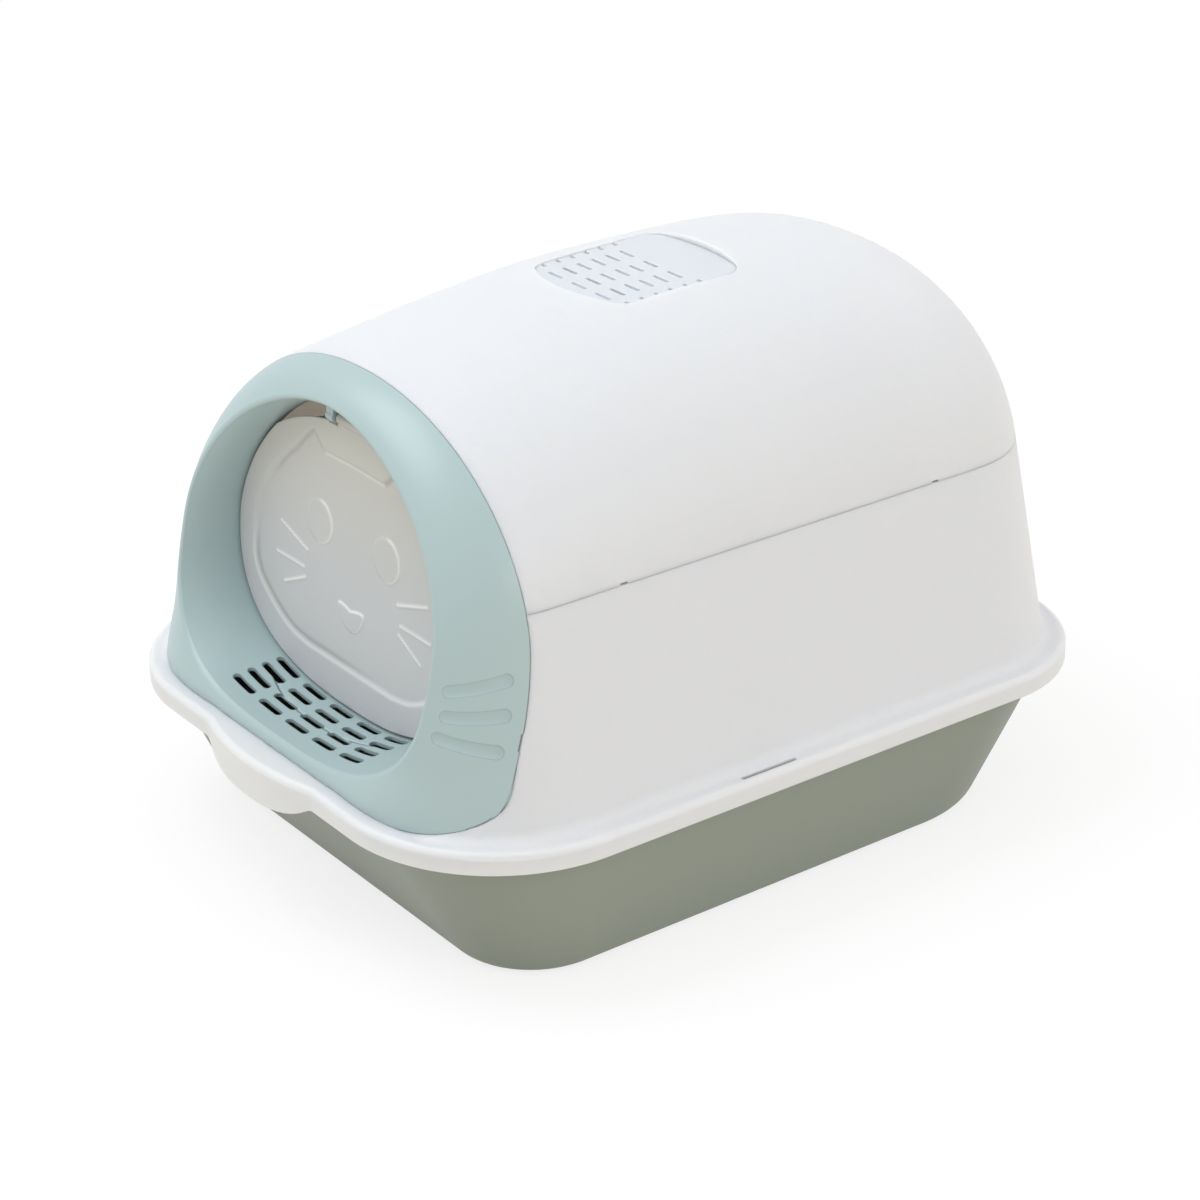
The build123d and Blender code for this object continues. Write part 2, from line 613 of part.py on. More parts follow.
def lower_cover():
    rim = extrude(plan_face(RIM_PLAN, RIM_LOW), FLANGE_TOP - RIM_LOW) + tab_solid()
    rim = fillet(rim.faces().sort_by(Axis.Z)[-1].edges(), 4)
    block = rim + wall_solid(FLANGE_TOP - WALL, SEAM)
    block = fillet([e for e in block.edges() if at_foot(e)], FLANGE_ROUND)
    shape = block - extrude(plan_face(RIM_PLAN, RIM_LOW - 30, WALL), FLANGE_TOP - WALL - RIM_LOW + 30)
    shape = shape - Pos(0, WALL, -WALL) * tab_solid()
    shape = shape - wall_solid(FLANGE_TOP, SEAM + 5, WALL)
    shape = shape - wall_solid(FLANGE_TOP - 3 * WALL, FLANGE_TOP + 1, 3 * WALL)
    tongue = extrude(plan_face(SEAM_PLAN, SEAM - 4, WALL - 0.5), 4) + extrude(plan_face(SEAM_PLAN, SEAM - 4, 4.8), 7.5)
    tongue = tongue - extrude(plan_face(SEAM_PLAN, SEAM - 5, 6.4), 12)
    shape = shape + (tongue & Pos(0, TONGUE_FRONT, SEAM) * Box(400, 500, 40, align=(Align.CENTER, Align.MIN, Align.CENTER)))
    shape = shape - front_cutter()
    for side in (-1, 1):
        slot = Pos(side * SNAP_X, SNAP_Y, FLANGE_TOP - 5) * Rot(0, 0, 90) * extrude(SlotOverall(SNAP_LONG, SNAP_WIDE), 10)
        shape = shape - slot
    return shape


def litter_pan():
    base, top = plan_face(TUB_BASE_PLAN, 0), plan_face(TUB_TOP_PLAN, TUB_TOP)
    outer = loft([base, top], ruled=True)
    outer = fillet(outer.faces().sort_by(Axis.Z)[0].edges(), TUB_BASE_RADIUS)
    inner = loft([plan_face(TUB_BASE_PLAN, WALL, WALL), plan_face(TUB_TOP_PLAN, TUB_TOP + WALL, WALL)], ruled=True)
    inner = fillet(inner.faces().sort_by(Axis.Z)[0].edges(), TUB_BASE_RADIUS - WALL)
    rim = extrude(plan_face(TUB_TOP_PLAN, TUB_RIM_LOW, -TUB_RIM_OUT), WALL)
    shape = outer + rim
    for side in (-1, 1):
        tongue = Pos(side * SNAP_X, SNAP_Y, TUB_RIM_LOW) * Box(1.4, SNAP_LONG - 4, 8, align=(Align.CENTER, Align.CENTER, Align.MIN))
        shape = shape + tongue
    return shape - inner


def main():
    os.makedirs("parts", exist_ok=True)
    save("litter_pan", litter_pan())
    save("lower_cover", lower_cover())
    save("entry_frame", entry_frame())
    save("flap_door", flap_door())
    save("hood", hood())
    save("vent_cover", vent_cover())
    save("filter_pad", filter_pad())


main()
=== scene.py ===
import math
import bpy
import numpy as np
from mathutils import Matrix, Vector


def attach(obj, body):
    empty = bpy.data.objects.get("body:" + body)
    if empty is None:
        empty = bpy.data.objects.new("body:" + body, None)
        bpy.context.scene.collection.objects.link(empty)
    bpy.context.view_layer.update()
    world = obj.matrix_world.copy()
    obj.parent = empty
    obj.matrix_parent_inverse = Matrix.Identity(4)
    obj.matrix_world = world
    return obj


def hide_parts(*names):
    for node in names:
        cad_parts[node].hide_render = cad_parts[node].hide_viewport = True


# Covered litter box: domed white hood on a white lower cover, pale blue-green entry frame with a
# slotted step, frosted swing flap, grey-green tub. Metres, in the frame of the construction model:
# X is the width, the entry faces -Y, Z is up.

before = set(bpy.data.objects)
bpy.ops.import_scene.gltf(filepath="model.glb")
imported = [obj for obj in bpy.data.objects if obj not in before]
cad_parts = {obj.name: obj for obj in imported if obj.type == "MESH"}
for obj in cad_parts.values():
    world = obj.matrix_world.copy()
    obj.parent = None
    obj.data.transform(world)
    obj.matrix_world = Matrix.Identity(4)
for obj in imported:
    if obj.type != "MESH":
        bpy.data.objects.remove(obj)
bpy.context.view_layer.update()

# The photograph's view: angles in degrees, places in metres, lens and sensor in millimetres
VIEW_AZIMUTH = 53.72
VIEW_ELEVATION = 25.43
VIEW_ROLL = -0.8
VIEW_DISTANCE = 1.91988
VIEW_SHIFT_RIGHT = -0.00078
VIEW_SHIFT_UP = -0.07389
VIEW_CENTRE_Z = 0.205
VIEW_FAR = 50.0
VIEW_LENS = 95.04
VIEW_SENSOR = 36.0

# Studio: lamps in metres and watts, strength of the plain light all round, share of the floor that glows
LAMP_AIM = (0, 0, 0.2)
TOP_SOFTBOX = {"place": (-0.8, -0.9, 2.0), "size": 1.6, "power": 18, "colour": (0.91, 0.97, 1)}
SIDE_FILL = {"place": (2.3, 0.6, 1.3), "size": 1.4, "power": 9.5, "colour": (1, 0.94, 0.84)}
AMBIENT = 0.88
FLOOR_GLOW = 0.78
FLOOR_HALF = 6.0

# Colours, linear
SHELL_WHITE = (0.79, 0.79, 0.8)
FRAME_GREEN = (0.39, 0.505, 0.515)
TUB_GREEN = (0.258, 0.292, 0.25)
FLAP_COOL = (0.53, 0.55, 0.57)
# The flap's warm colour is a painted glow of the hood's light coming through
FLAP_PAINTED_GLOW = (0.55, 0.55, 0.51)
# Painted shade in the flap's dim corners and painted highlight on its relief's edges and lines
FLAP_PAINTED_SHADE = (0.34, 0.355, 0.35)
FLAP_PAINTED_HIGHLIGHT = (0.86, 0.86, 0.84)
VENT_GREY = (0.66, 0.7, 0.76)
PAD_GREY = (0.88, 0.91, 0.95)
FLOOR_WARM = (0.8, 0.735, 0.64)

# Finishes: a glow is the share of light that enters the wall and the metres that each colour travels
PLASTIC_IOR = 1.49
SHELL_ROUGHNESS = 0.42
SHELL_GLOW = (0.9, (0.0075, 0.0066, 0.0054))
FRAME_ROUGHNESS = 0.36
FRAME_SPECULAR = 0.7
TUB_ROUGHNESS = 0.5
FLAP_ROUGHNESS = 0.5
FLAP_GLOW = (0.4, (0.003, 0.003, 0.0028))
VENT_ROUGHNESS = 0.35
VENT_GLOW = (0.8, (0.004, 0.004, 0.0042))
FELT_ROUGHNESS = 0.9

# Scuffed plastic: share of its own colour kept, grey added, roughness added
WORN_SHARE = 0.8
WORN_GREY = 0.08
WORN_ROUGHNESS = 0.25

# Noises of the plastics: strength of the grain, scales, the streaks' stretch along X, Y and Z, and the
# noise values between which a streak or a patch comes up
GRAIN_STRENGTH = 0.5
FLOW_SCALE = 9.0
STREAK_STRETCH = (1.0, 1.4, 14.0)
STREAK_FROM = 0.6
STREAK_FULL = 0.72
PATCH_SCALE = 7.0
PATCH_FROM = 0.52
PATCH_FULL = 0.7

# Moulded edges of the entry frame: radius in metres, most painted shade, and the cosines of the turn
# between the rounded normal and the surface's own at which the painted shade starts and is full
EDGE_RADIUS = 0.0009
EDGE_PAINTED_SHADE = 0.42
EDGE_TURN_START = 0.975
EDGE_TURN_FULL = 0.93

# The door plane, metres and radians: a point in it and its lean
DOOR_Y = -0.1806
DOOR_Z = 0.195
DOOR_LEAN = math.radians(4.7)

# Flap, millimetres in the door plane: X across, Z up, depth behind its front face
FLAP_MIDDLE = 187.0
FLAP_HALF = 123.9
FLAP_UP = 108.5
FLAP_DOWN = 78.5
FLAP_POWER_UP = 1.72
FLAP_POWER_DOWN = 2.5
SHOULDER_HALF = 130.0
SHOULDER_UP = 94.0
FLAP_THICK = 2.4
FLAP_EDGE = 0.7
FLAP_GRID = (300, 220)
LUG_FROM = 17.2
LUG_TO = 26.8
LUG_NOTCH = 91.0
LUG_NOTCH_POWER = 40
LUG_LEAST_SINE = 0.5

# Face panel: its outline's half, the wall that leads down to it and how the wall widens beside the eyes
HEAD_TOP = [(0, 258.2), (32, 257.4), (43.2, 267.2)]
HEAD_SIDE = [
    (43.2, 267.2), (52, 259.4), (61, 250.6), (74, 239.5), (90, 220), (101, 197),
    (104.5, 174), (100, 160.5), (90, 151.5), (77.5, 143.5), (62, 136.8), (45, 134.2),
]
HEAD_LOW = [(45, 134.2), (0, 134.2)]
PANEL_DEEP = 1.3
PANEL_BULGE = 0.5
WALL_INNER = -0.2
WALL_OUTER = 2.6
WALL_WIDER = 6.0
WALL_WIDEST_Z = 212.0
WALL_WIDER_REACH = 28.0

# Eyes, nose and whiskers, one half of each where they are mirrored
EYE_X = 35.4
EYE_Z = 213.7
EYE_RADIUS = 13.4
NOSE = [(0, 169.2), (6.5, 170.9), (12.2, 171.2), (13.2, 168.5), (9.8, 162.2), (5.5, 158.0), (0, 156.4)]
WHISKERS = [((48, 190.8), (78, 200)), ((51.5, 179), (82, 179)), ((50, 173), (73, 162.5))]
FEATURE_HIGH = 1.0
FEATURE_WALL = 1.4
WHISKER_HIGH = 0.6
WHISKER_FOOT = 1.5
WHISKER_CREST = 0.3

# Painted highlights and painted shade of the flap: strength and width of each line, millimetres and the X
# or Z between which it fades
EYE_PAINTED_HIGHLIGHT = (0.85, 0.65)
EYE_LIT_TURN = 0.12
EYE_LIT_FADE = (-0.3, 0.2)
NOSE_PAINTED_HIGHLIGHT = (0.8, 0.6)
NOSE_OPEN_X = (3, 0)
NOSE_OPEN_Z = (168, 165)
WHISKER_PAINTED_HIGHLIGHT = (0.9, 0.75)
CHIN_FADE_Z = (195, 165)
CHIN_PAINTED_HIGHLIGHT = (0.4, 1.1)
CHIN_HIGHLIGHT_OUT = 2.6
CHIN_PAINTED_SHADE = (0.7, 1.8)
CHIN_SHADE_IN = 0.9
CHIN_SHADE_X = (40, -20)
BROW_PAINTED_HIGHLIGHT = (0.45, 1.0)
BROW_X = (34, 30)
BROW_Z = (240, 250)
EAR_PAINTED_SHADE = (0.4, 1.3)
EAR_FADE_Z = (222, 237)

# Metres up between which the flap turns from the cool colour to the warm one, a painted glow of the hood's
# light
PAINTED_GLOW_FROM_Z = 0.17
PAINTED_GLOW_TO_Z = 0.28

# Hinge barrel and pins, (X, radius) of one half
HINGE_Z = 283.0
HINGE_DEPTH = 1.2
HINGE_PROFILE = [(-24, 0), (-24, 1.7), (-23.7, 2), (-16, 2), (-16, 2.9), (-15.7, 3.2)]
HINGE_SIDES = 32

# Filter pad, millimetres on the vent's own sloping plane through its pivot, (Y, Z)
VENT_PIVOT = (60.0, 334.0)
VENT_TILT = math.radians(1.8)
PAD_MIDDLE = 26.0
PAD_HALF = (34.7, 28.7)
PAD_TOP = 2.9
PAD_BOTTOM = 9.1
PAD_EDGE = 1.2
PAD_POWER = 9
PAD_GRID = (80, 70)

# The pad's uneven felt: millimetres that its edge falls away by, and its waves' height, their turn in
# radians for each millimetre across and along, and how far they sway
PAD_CROWN = 0.25
PAD_CROWN_POWER = 4
WAVE_HIGH = 0.06
WAVE_ACROSS = 0.9
WAVE_ALONG = 0.35
WAVE_SWAY = 1.2

# Middle of a plate's rounded edge: share of the edge radius in from the rim and down from the face
EDGE_ROUND = 0.3


def new_group(name, inputs, outputs):
    """Empty shader group with float or colour sockets, each given as (name, kind, default)."""
    group = bpy.data.node_groups.new(name, "ShaderNodeTree")
    for label, kind, default in inputs:
        socket = group.interface.new_socket(label, in_out="INPUT", socket_type=kind)
        socket.default_value = default
    for label, kind in outputs:
        group.interface.new_socket(label, in_out="OUTPUT", socket_type=kind)
    start = group.nodes.new("NodeGroupInput")
    end = group.nodes.new("NodeGroupOutput")
    return group, start, end


def node(tree, kind, **settings):
    """New node of a tree, with its settings."""
    made = tree.nodes.new(kind)
    for key, value in settings.items():
        setattr(made, key, value)
    return made


def make_grain():
    """Moulded plastic: a fine spark-eroded grain, a faint flow mottling and a roughness that follows it.

    Colour is scaled by 1 + mottling * (slow noise - 0.5), roughness is its mean + change * (slow
    noise - 0.5), and height is the fine noise.
    """
    group, start, end = new_group(
        "moulded_grain",
        [
            ("Colour", "NodeSocketColor", (0.8, 0.8, 0.8, 1)),
            ("Grain Size", "NodeSocketFloat", 1800.0),
            ("Mottling", "NodeSocketFloat", 0.04),
            ("Roughness", "NodeSocketFloat", 0.45),
            ("Roughness Change", "NodeSocketFloat", 0.06),
        ],
        [("Colour", "NodeSocketColor"), ("Roughness", "NodeSocketFloat"), ("Height", "NodeSocketFloat")],
    )
    link = group.links.new
    place = node(group, "ShaderNodeTexCoord")
    fine = node(group, "ShaderNodeTexNoise")
    fine.inputs["Detail"].default_value = 2.0
    link(place.outputs["Object"], fine.inputs["Vector"])
    link(start.outputs["Grain Size"], fine.inputs["Scale"])
    flow = node(group, "ShaderNodeTexNoise")
    flow.inputs["Scale"].default_value = FLOW_SCALE
    flow.inputs["Detail"].default_value = 4.0
    link(place.outputs["Object"], flow.inputs["Vector"])
    centred = node(group, "ShaderNodeMath", operation="SUBTRACT")
    centred.inputs[1].default_value = 0.5
    link(flow.outputs["Fac"], centred.inputs[0])
    amount = node(group, "ShaderNodeMath", operation="MULTIPLY_ADD")
    amount.inputs[2].default_value = 1.0
    link(centred.outputs[0], amount.inputs[0])
    link(start.outputs["Mottling"], amount.inputs[1])
    tint = node(group, "ShaderNodeVectorMath", operation="SCALE")
    link(start.outputs["Colour"], tint.inputs[0])
    link(amount.outputs[0], tint.inputs["Scale"])
    link(tint.outputs[0], end.inputs["Colour"])
    rough = node(group, "ShaderNodeMath", operation="MULTIPLY_ADD")
    link(centred.outputs[0], rough.inputs[0])
    link(start.outputs["Roughness Change"], rough.inputs[1])
    link(start.outputs["Roughness"], rough.inputs[2])
    link(rough.outputs[0], end.inputs["Roughness"])
    link(fine.outputs["Fac"], end.inputs["Height"])
    return group


def make_scuffs():
    """Faint handling marks: thin streaks of a stretched noise, kept only in a few patches.

    The mask is the tips of the streak noise times the tips of a slow patch noise, times the amount.
    """
    group, start, end = new_group(
        "handling_scuffs",
        [("Streak Size", "NodeSocketFloat", 60.0), ("Amount", "NodeSocketFloat", 0.5)],
        [("Mask", "NodeSocketFloat")],
    )
    link = group.links.new
    place = node(group, "ShaderNodeTexCoord")
    stretch = node(group, "ShaderNodeVectorMath", operation="MULTIPLY")
    stretch.inputs[1].default_value = STREAK_STRETCH
    link(place.outputs["Object"], stretch.inputs[0])
    streak = node(group, "ShaderNodeTexNoise")
    streak.inputs["Detail"].default_value = 3.0
    link(stretch.outputs[0], streak.inputs["Vector"])
    link(start.outputs["Streak Size"], streak.inputs["Scale"])
    thin = node(group, "ShaderNodeMapRange")
    thin.inputs["From Min"].default_value = STREAK_FROM
    thin.inputs["From Max"].default_value = STREAK_FULL
    link(streak.outputs["Fac"], thin.inputs["Value"])
    patch = node(group, "ShaderNodeTexNoise")
    patch.inputs["Scale"].default_value = PATCH_SCALE
    link(place.outputs["Object"], patch.inputs["Vector"])
    few = node(group, "ShaderNodeMapRange")
    few.inputs["From Min"].default_value = PATCH_FROM
    few.inputs["From Max"].default_value = PATCH_FULL
    link(patch.outputs["Fac"], few.inputs["Value"])
    both = node(group, "ShaderNodeMath", operation="MULTIPLY")
    link(thin.outputs["Result"], both.inputs[0])
    link(few.outputs["Result"], both.inputs[1])
    scaled = node(group, "ShaderNodeMath", operation="MULTIPLY")
    link(both.outputs[0], scaled.inputs[0])
    link(start.outputs["Amount"], scaled.inputs[1])
    link(scaled.outputs[0], end.inputs["Mask"])
    return group


GRAIN = make_grain()
SCUFFS = make_scuffs()


def plastic(name, colour, roughness, grain_depth=0.00002, mottling=0.04, scuffed=0.35):
    """Satin moulded plastic, greyer and rougher where it is scuffed.

    Returns the material, its shader, its tree and the grain node.
    """
    material = bpy.data.materials.new(name)
    material.use_nodes = True
    tree = material.node_tree
    link = tree.links.new
    shader = tree.nodes["Principled BSDF"]
    grain = node(tree, "ShaderNodeGroup", node_tree=GRAIN)
    grain.inputs["Colour"].default_value = (*colour, 1)
    grain.inputs["Mottling"].default_value = mottling
    grain.inputs["Roughness"].default_value = roughness
    scuffs = node(tree, "ShaderNodeGroup", node_tree=SCUFFS)
    scuffs.inputs["Amount"].default_value = scuffed
    worn = node(tree, "ShaderNodeMix", data_type="RGBA")
    worn.inputs["B"].default_value = (*[c * WORN_SHARE + WORN_GREY for c in colour], 1)
    link(scuffs.outputs["Mask"], worn.inputs["Factor"])
    link(grain.outputs["Colour"], worn.inputs["A"])
    link(worn.outputs["Result"], shader.inputs["Base Color"])
    dulled = node(tree, "ShaderNodeMath", operation="MULTIPLY_ADD")
    dulled.inputs[1].default_value = WORN_ROUGHNESS
    link(scuffs.outputs["Mask"], dulled.inputs[0])
    link(grain.outputs["Roughness"], dulled.inputs[2])
    link(dulled.outputs[0], shader.inputs["Roughness"])
    bump = node(tree, "ShaderNodeBump")
    bump.inputs["Distance"].default_value = grain_depth
    bump.inputs["Strength"].default_value = GRAIN_STRENGTH
    link(grain.outputs["Height"], bump.inputs["Height"])
    link(bump.outputs["Normal"], shader.inputs["Normal"])
    shader.inputs["IOR"].default_value = PLASTIC_IOR
    return material, shader, tree, grain


def glow_through(shader, share, reach):
    """Lets a share of the light through a thin moulded wall: reach is each colour's way in metres."""
    shader.inputs["Subsurface Weight"].default_value = share
    shader.inputs["Subsurface Radius"].default_value = reach
    shader.inputs["Subsurface Scale"].default_value = 1.0


def round_and_shade_edges(tree, shader):
    """Rounds the shading of moulded edges and paints shade on those of grooves and slots.

    The rounded normal goes under the grain, and the colour falls as painted shade from full to 1 - the
    most painted shade as the cosine between the rounded normal and the surface's own falls from its start
    to its full value.
    """
    rounded = node(tree, "ShaderNodeBevel", samples=4)
    rounded.inputs["Radius"].default_value = EDGE_RADIUS
    surface = node(tree, "ShaderNodeNewGeometry")
    agree = node(tree, "ShaderNodeVectorMath", operation="DOT_PRODUCT")
    tree.links.new(rounded.outputs["Normal"], agree.inputs[0])
    tree.links.new(surface.outputs["Normal"], agree.inputs[1])
    crease = node(tree, "ShaderNodeMapRange")
    crease.inputs["From Min"].default_value = EDGE_TURN_START
    crease.inputs["From Max"].default_value = EDGE_TURN_FULL
    crease.inputs["To Min"].default_value = 1.0
    crease.inputs["To Max"].default_value = 1 - EDGE_PAINTED_SHADE
    tree.links.new(agree.outputs["Value"], crease.inputs["Value"])
    # Painted shade: the colour darkens where the rounded normal turns from the surface's own
    edge_shaded_colour = node(tree, "ShaderNodeVectorMath", operation="SCALE")
    tree.links.new(shader.inputs["Base Color"].links[0].from_socket, edge_shaded_colour.inputs[0])
    tree.links.new(crease.outputs["Result"], edge_shaded_colour.inputs["Scale"])
    tree.links.new(edge_shaded_colour.outputs[0], shader.inputs["Base Color"])
    bump = shader.inputs["Normal"].links[0].from_node
    tree.links.new(rounded.outputs["Normal"], bump.inputs["Normal"])


def dress(name, material):
    """Puts a material on a node of the construction model."""
    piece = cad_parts[name]
    piece.data.materials.clear()
    piece.data.materials.append(material)


def smooth_step(value):
    """0 below 0 and 1 above 1, with 3 v^2 - 2 v^3 between."""
    value = np.clip(value, 0, 1)
    return value * value * (3 - 2 * value)


def fade(value, start, end):
    """Smooth step from 0 at start to 1 at end, in either direction."""
    return smooth_step((value - start) / (end - start))


def ridge(away, width):
    """Bell over a line: e to the power of minus the square of the distance over the width."""
    return np.exp(-((away / width) ** 2))


def superellipse(angle, across, up, power):
    """Radius at each angle of |x / across|^power + |z / up|^power = 1."""
    c, s = np.abs(np.cos(angle)), np.abs(np.sin(angle))
    return ((c / across) ** power + (s / up) ** power) ** (-1 / power)


def rounded_path(points, steps=10):
    """Cubic through the points whose slope at each is half the way between its two neighbours."""
    knots = np.array([points[0], *points, points[-1]], float)
    t = np.linspace(0, 1, steps, endpoint=False)[:, None]
    runs = []
    for a, b, c, d in zip(knots, knots[1:], knots[2:], knots[3:]):
        bend = (2 * a - 5 * b + 4 * c - d) * t**2 + (3 * b - a - 3 * c + d) * t**3
        runs.append(b + ((c - a) * t + bend) / 2)
    return np.vstack([*runs, knots[-1:]])


def distance_to(x, z, path):
    """Distance from each point to the nearest of an open path's straight runs, ends included."""
    nearest = np.full(x.shape, np.inf)
    for (x0, z0), (x1, z1) in zip(path, path[1:]):
        along, rise = x1 - x0, z1 - z0
        part = np.clip(((x - x0) * along + (z - z0) * rise) / (along**2 + rise**2), 0, 1)
        nearest = np.minimum(nearest, np.hypot(x - x0 - part * along, z - z0 - part * rise))
    return nearest


def signed_distance(x, z, path):
    """Distance to the outline made by a path and its mirror image about X = 0, negative inside.

    A point is inside where a ray from it along X crosses the path an odd number of times.
    """
    x = np.abs(x)
    inside = np.zeros(x.shape, bool)
    for (x0, z0), (x1, z1) in zip(path, path[1:]):
        if z0 != z1:
            crossed = (z0 > z) != (z1 > z)
            inside ^= crossed & (x < x0 + (z - z0) * (x1 - x0) / (z1 - z0))
    away = distance_to(x, z, path)
    return np.where(inside, -away, away)


def plate(radius, front, back, edge, thick, grid):
    """Closed plate over an outline given as a radius at each angle and part of the way to the rim.

    A square grid is laid on a disk by u = s sqrt(1 - t^2 / 2), v = t sqrt(1 - s^2 / 2), and each point
    of the disk moves along its ray until the rim meets the outline. The front grid has the depths that
    front gives, the back one every second point and the depths of back, and rings round off the rim.
    """
    across, up = grid
    s, t = np.meshgrid(np.linspace(-1, 1, across + 1), np.linspace(-1, 1, up + 1))
    u, v = s * np.sqrt(1 - t * t / 2), t * np.sqrt(1 - s * s / 2)
    angle, part = np.arctan2(v, u), np.hypot(u, v)
    inner = part * (radius(angle, part) - edge)
    x, z = inner * np.cos(angle), inner * np.sin(angle)
    index = np.arange(x.size).reshape(x.shape)
    loop = np.concatenate([index[0, :-1], index[:-1, -1], index[-1, :0:-1], index[:0:-1, 0]])
    points = [np.stack([x, front(x, z), z], -1).reshape(-1, 3)]
    faces = list(zip(index[:-1, :-1].flat, index[:-1, 1:].flat, index[1:, 1:].flat, index[1:, :-1].flat))
    count, ring = x.size, loop
    deep = thick / edge
    for inset, depth in ((EDGE_ROUND, EDGE_ROUND), (0, 1), (0, deep - 1), (EDGE_ROUND, deep - EDGE_ROUND)):
        a = angle.flat[loop]
        r = radius(a, 1) - inset * edge
        points.append(np.stack([r * np.cos(a), np.full(len(loop), depth * edge), r * np.sin(a)], -1))
        after = np.arange(len(loop)) + count
        faces += zip(ring, after, np.roll(after, -1), np.roll(ring, -1))
        ring, count = after, count + len(loop)
    x, z = x[::2, ::2], z[::2, ::2]
    index = np.arange(x.size).reshape(x.shape) + count
    points.append(np.stack([x, back(x, z), z], -1).reshape(-1, 3))
    faces += zip(index[:-1, :-1].flat, index[1:, :-1].flat, index[1:, 1:].flat, index[:-1, 1:].flat)
    loop = np.concatenate([index[0, :-1], index[:-1, -1], index[-1, :0:-1], index[:0:-1, 0]])
    faces += zip(ring[::2], loop, np.roll(loop, -1), np.roll(ring, -2)[::2], ring[1::2])
    return np.vstack(points), faces


def turned(profile, sides):
    """Closed turned shape round X from (x, radius) pairs whose first and last radius are 0.

    Each pair between them is a ring of points (x, r cos a, r sin a), and the ends close in fans.
    """
    angles = 2 * np.pi * np.arange(sides) / sides
    rings = [np.stack([np.full(sides, x), r * np.cos(angles), r * np.sin(angles)], -1)
             for x, r in profile[1:-1]]
    points = np.vstack([*rings, [[profile[0][0], 0, 0], [profile[-1][0], 0, 0]]])
    here = np.arange(len(rings) * sides).reshape(-1, sides)
    after = np.roll(here, -1, axis=1)
    faces = list(zip(here[:-1].flat, after[:-1].flat, after[1:].flat, here[1:].flat))
    start, end = len(points) - 2, len(points) - 1
    faces += zip(np.full(sides, start), after[0], here[0])
    faces += zip(np.full(sides, end), here[-1], after[-1])
    return points, faces


def add_piece(name, parts, material):
    """Mesh object at the origin from closed parts in metres, each a pair of points and faces."""
    points, faces, count = [], [], 0
    for part_points, part_faces in parts:
        points.append(part_points)
        faces += [tuple(int(i) + count for i in face) for face in part_faces]
        count += len(part_points)
    mesh = bpy.data.meshes.new(name)
    mesh.from_pydata(np.vstack(points).tolist(), [], faces)
    mesh.validate()
    mesh.polygons.foreach_set("use_smooth", [True] * len(mesh.polygons))
    mesh.materials.append(material)
    piece = bpy.data.objects.new(name, mesh)
    bpy.context.scene.collection.objects.link(piece)
    return piece


def flap_radius(angle, part):
    """Egg outline: a superellipse above the middle and a squarer one below, cut by a shoulder ellipse.

    Under the frame's two lugs the rim dips to a level notch, and the dip fades inwards as a high power
    of the part of the way to the rim.
    """
    c, s = np.abs(np.cos(angle)), np.sin(angle)
    above = superellipse(angle, FLAP_HALF, FLAP_UP, FLAP_POWER_UP)
    below = superellipse(angle, FLAP_HALF, FLAP_DOWN, FLAP_POWER_DOWN)
    shoulder = superellipse(angle, SHOULDER_HALF, SHOULDER_UP, 2)
    reach = np.minimum(np.where(s > 0, above, below), shoulder)
    at_lug = (s > 0) & (reach * c > LUG_FROM) & (reach * c < LUG_TO)
    dip = np.where(at_lug, np.maximum(reach - LUG_NOTCH / np.maximum(s, LUG_LEAST_SINE), 0), 0)
    return reach - dip * part**LUG_NOTCH_POWER


def head_outline():
    """Right half of the face panel's outline: straight brow, rounded ear and cheek, straight chin."""
    return np.vstack([HEAD_TOP[:-1], rounded_path(HEAD_SIDE), HEAD_LOW[1:]])


def head_recess(x, z):
    """0 on the border and 1 on the face panel, a smooth step across a wall that widens by the eyes."""
    height = z + FLAP_MIDDLE
    outer = WALL_OUTER + WALL_WIDER * ridge(height - WALL_WIDEST_Z, WALL_WIDER_REACH)
    return fade(signed_distance(x, height, head_outline()), outer, WALL_INNER)


def flap_front(x, z):
    """Depth of the front: border, recessed panel, and the eyes, nose and whiskers raised on it.

    Eyes and nose rise by a smooth step of the distance to the nearer outline, half of it on each side,
    and a whisker by one of the distance to its line, from its foot to its crest.
    """
    side, height = np.abs(x), z + FLAP_MIDDLE
    eye = np.hypot(side - EYE_X, height - EYE_Z) - EYE_RADIUS
    nose = signed_distance(x, height, rounded_path(NOSE, 4))
    raised = fade(np.minimum(eye, nose), FEATURE_WALL / 2, -FEATURE_WALL / 2)
    depth = PANEL_DEEP * head_recess(x, z) - FEATURE_HIGH * raised
    for ends in WHISKERS:
        depth -= WHISKER_HIGH * fade(distance_to(side, height, ends), WHISKER_FOOT, WHISKER_CREST)
    return depth


